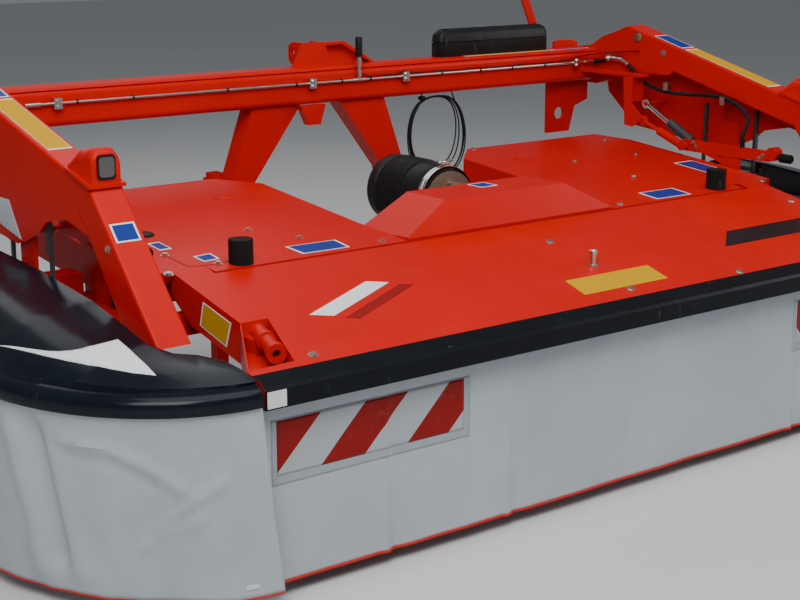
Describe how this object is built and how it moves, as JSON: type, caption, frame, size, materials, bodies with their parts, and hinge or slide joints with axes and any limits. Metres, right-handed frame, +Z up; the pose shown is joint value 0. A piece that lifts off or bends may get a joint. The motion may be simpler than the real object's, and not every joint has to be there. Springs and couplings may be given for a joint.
{
  "type": "front disc mower",
  "caption": "Front-mounted disc mower: carrying frame, disc cutter bar under a folding hood, hinged side guards with canvas skirts and parking legs.",
  "frame": {"origin": "middle of the machine's outline on the ground it stands on", "axes": "+Z up, +X across the machine, +Y from the front bumper towards the tractor"},
  "size_m": [3.78, 1.936, 1.42],
  "materials": {
    "red_paint": "glossy red machine paint",
    "black_plastic": "black moulded plastic",
    "guard_plastic": "dark grey moulded plastic with a soft sheen",
    "strip_rubber": "black bumper strip",
    "canvas": "coated light grey canvas",
    "rubber": "black rubber",
    "dark_steel": "dark painted castings",
    "worn_steel": "bare worn steel",
    "zinc_steel": "zinc-plated steel",
    "box_plastic": "black moulded plastic with a soft sheen",
    "lamp_glass": "clear lamp lens"
  },
  "bodies": {
    "carrier": {"crossbeam": "red_paint", "arms": "red_paint", "legs": "red_paint", "end_struts": "red_paint", "cross_rails": "red_paint", "side_rails": "red_paint", "rear_covers": "red_paint", "hood_posts": "red_paint", "centre_cover": "red_paint", "buffers": "rubber", "lamp_housings": "red_paint", "upper_links": "red_paint", "lamp_lenses": "lamp_glass", "cutter_bar": "dark_steel", "skids": "worn_steel", "gearbox": "dark_steel", "pto_guard": "black_plastic", "guard_clamp": "zinc_steel", "drive_column": "red_paint", "headstock_legs": "red_paint", "top_link_bracket": "red_paint", "beam_brackets": "red_paint", "lift_barrels": "dark_steel", "lift_rods": "zinc_steel", "float_levers": "red_paint", "hood_hinges": "zinc_steel", "guard_hinges": "dark_steel", "hydraulic_line": "zinc_steel", "line_clamps": "zinc_steel", "arm_hoses": "rubber", "document_box": "box_plastic", "lock_lever": "red_paint", "cable_hank": "rubber"},
    "front_cover": {"front_panel": "red_paint", "bumper_strip": "strip_rubber", "front_canvas": "canvas", "latches": "red_paint"},
    "guard_left": {"fender_left": "guard_plastic", "side_canvas_left": "canvas"},
    "guard_right": {"fender_right": "guard_plastic", "side_canvas_right": "canvas"},
    "stand_left": {"stand_left": "red_paint"},
    "stand_right": {"stand_right": "red_paint"},
    "input_shaft": {"input_shaft": "worn_steel"},
    "rotor_1": {"disc_1": "dark_steel", "knives_1": "worn_steel"},
    "rotor_2": {"disc_2": "dark_steel", "knives_2": "worn_steel"},
    "rotor_3": {"disc_3": "dark_steel", "knives_3": "worn_steel"},
    "rotor_4": {"disc_4": "dark_steel", "knives_4": "worn_steel"},
    "rotor_5": {"disc_5": "dark_steel", "knives_5": "worn_steel"},
    "rotor_6": {"disc_6": "dark_steel", "knives_6": "worn_steel"},
    "rotor_7": {"disc_7": "dark_steel", "knives_7": "worn_steel"}
  },
  "joints": [
    {"name": "front_cover_hinge", "type": "hinge", "parent": "carrier", "child": "front_cover", "pos_m": [0, -0.333, 0.708], "axis": [-1, 0, 0], "range_deg": [0, 103]},
    {"name": "guard_left_hinge", "type": "hinge", "parent": "carrier", "child": "guard_left", "pos_m": [-1.56, 0.076, 0.71], "axis": [0, 1, 0], "range_deg": [0, 90]},
    {"name": "guard_right_hinge", "type": "hinge", "parent": "carrier", "child": "guard_right", "pos_m": [1.56, 0.076, 0.71], "axis": [0, -1, 0], "range_deg": [0, 90]},
    {"name": "stand_left_slide", "type": "slide", "parent": "carrier", "child": "stand_left", "axis": [0, 0, 1], "range_m": [0, 0.22]},
    {"name": "stand_right_slide", "type": "slide", "parent": "carrier", "child": "stand_right", "axis": [0, 0, 1], "range_m": [0, 0.22]},
    {"name": "rotor_4_spin", "type": "hinge", "parent": "carrier", "child": "rotor_4", "pos_m": [0, -0.234, 0.1], "axis": [0, 0, 1], "continuous": true},
    {"name": "rotor_1_spin", "type": "hinge", "parent": "carrier", "child": "rotor_1", "pos_m": [-1.32, -0.234, 0.1], "axis": [0, 0, 1], "continuous": true},
    {"name": "rotor_2_spin", "type": "hinge", "parent": "carrier", "child": "rotor_2", "pos_m": [-0.88, -0.234, 0.1], "axis": [0, 0, 1], "continuous": true},
    {"name": "rotor_3_spin", "type": "hinge", "parent": "carrier", "child": "rotor_3", "pos_m": [-0.44, -0.234, 0.1], "axis": [0, 0, 1], "continuous": true},
    {"name": "rotor_5_spin", "type": "hinge", "parent": "carrier", "child": "rotor_5", "pos_m": [0.44, -0.234, 0.1], "axis": [0, 0, 1], "continuous": true},
    {"name": "rotor_6_spin", "type": "hinge", "parent": "carrier", "child": "rotor_6", "pos_m": [0.88, -0.234, 0.1], "axis": [0, 0, 1], "continuous": true},
    {"name": "rotor_7_spin", "type": "hinge", "parent": "carrier", "child": "rotor_7", "pos_m": [1.32, -0.234, 0.1], "axis": [0, 0, 1], "continuous": true},
    {"name": "input_shaft_spin", "type": "hinge", "parent": "carrier", "child": "input_shaft", "pos_m": [0, 0.026, 0.76], "axis": [0, 1, 0], "continuous": true}
  ],
  "couplings": [
    {"joint": "rotor_1_spin", "follows": "rotor_4_spin", "ratio": -1},
    {"joint": "rotor_2_spin", "follows": "rotor_4_spin", "ratio": 1},
    {"joint": "rotor_3_spin", "follows": "rotor_4_spin", "ratio": -1},
    {"joint": "rotor_5_spin", "follows": "rotor_4_spin", "ratio": -1},
    {"joint": "rotor_6_spin", "follows": "rotor_4_spin", "ratio": 1},
    {"joint": "rotor_7_spin", "follows": "rotor_4_spin", "ratio": -1},
    {"joint": "input_shaft_spin", "follows": "rotor_4_spin", "ratio": 0.3333}
  ]
}
